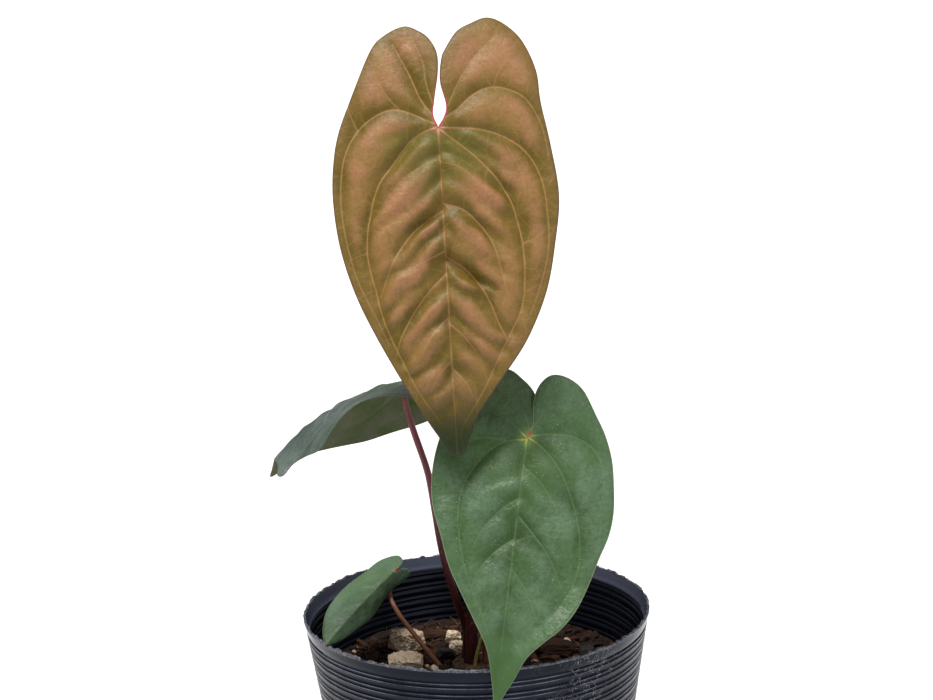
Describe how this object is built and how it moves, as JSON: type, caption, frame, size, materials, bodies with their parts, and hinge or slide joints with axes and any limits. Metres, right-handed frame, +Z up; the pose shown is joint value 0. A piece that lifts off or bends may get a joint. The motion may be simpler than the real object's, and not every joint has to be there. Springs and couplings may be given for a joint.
{
  "type": "potted_plant",
  "caption": "Free-standing potted anthurium in a ribbed black nursery pot: long petioles on a short crown hold heart-shaped leaf blades out over the rim",
  "frame": {"origin": "centre of the pot's underside, the face it stands on", "axes": "+Z up along the pot's axis, -Y the front that the large bronze leaf faces, +X to the right as seen from the front"},
  "size_m": [0.1607, 0.1615, 0.3801],
  "materials": {
    "pot_black": "satin",
    "mix_brown": "matte",
    "root_brown": "matte",
    "bronze_leaf": "satin",
    "green_leaf": "satin",
    "petiole_crimson": "satin",
    "petiole_brown": "matte",
    "sheath_maroon": "satin",
    "root_green": "satin",
    "pumice_cream": "matte",
    "charcoal_black": "matte",
    "husk_brown": "matte"
  },
  "bodies": {
    "root": {"nursery_pot": "pot_black", "potting_mix": "mix_brown", "rootstock": "root_brown", "bronze_leaf_blade": "bronze_leaf", "front_leaf_blade": "green_leaf", "left_leaf_blade": "green_leaf", "small_leaf_blade": "green_leaf", "bronze_leaf_petiole": "petiole_crimson", "front_leaf_petiole": "petiole_brown", "left_leaf_petiole": "petiole_crimson", "small_leaf_petiole": "petiole_brown", "cataphyll": "sheath_maroon", "young_root": "root_green", "pumice_1": "pumice_cream", "pumice_2": "pumice_cream", "pumice_3": "pumice_cream", "pumice_4": "pumice_cream", "pumice_5": "pumice_cream", "pumice_6": "pumice_cream", "charcoal_1": "charcoal_black", "charcoal_2": "charcoal_black", "charcoal_3": "charcoal_black", "charcoal_4": "charcoal_black", "charcoal_5": "charcoal_black", "charcoal_6": "charcoal_black", "husk_chip_1": "husk_brown", "husk_chip_2": "husk_brown", "husk_chip_3": "husk_brown", "husk_chip_4": "husk_brown", "husk_chip_5": "husk_brown", "husk_chip_6": "husk_brown", "husk_chip_7": "husk_brown", "husk_chip_8": "husk_brown", "husk_chip_9": "husk_brown", "husk_chip_10": "husk_brown", "husk_chip_11": "husk_brown"}
  },
  "joints": []
}
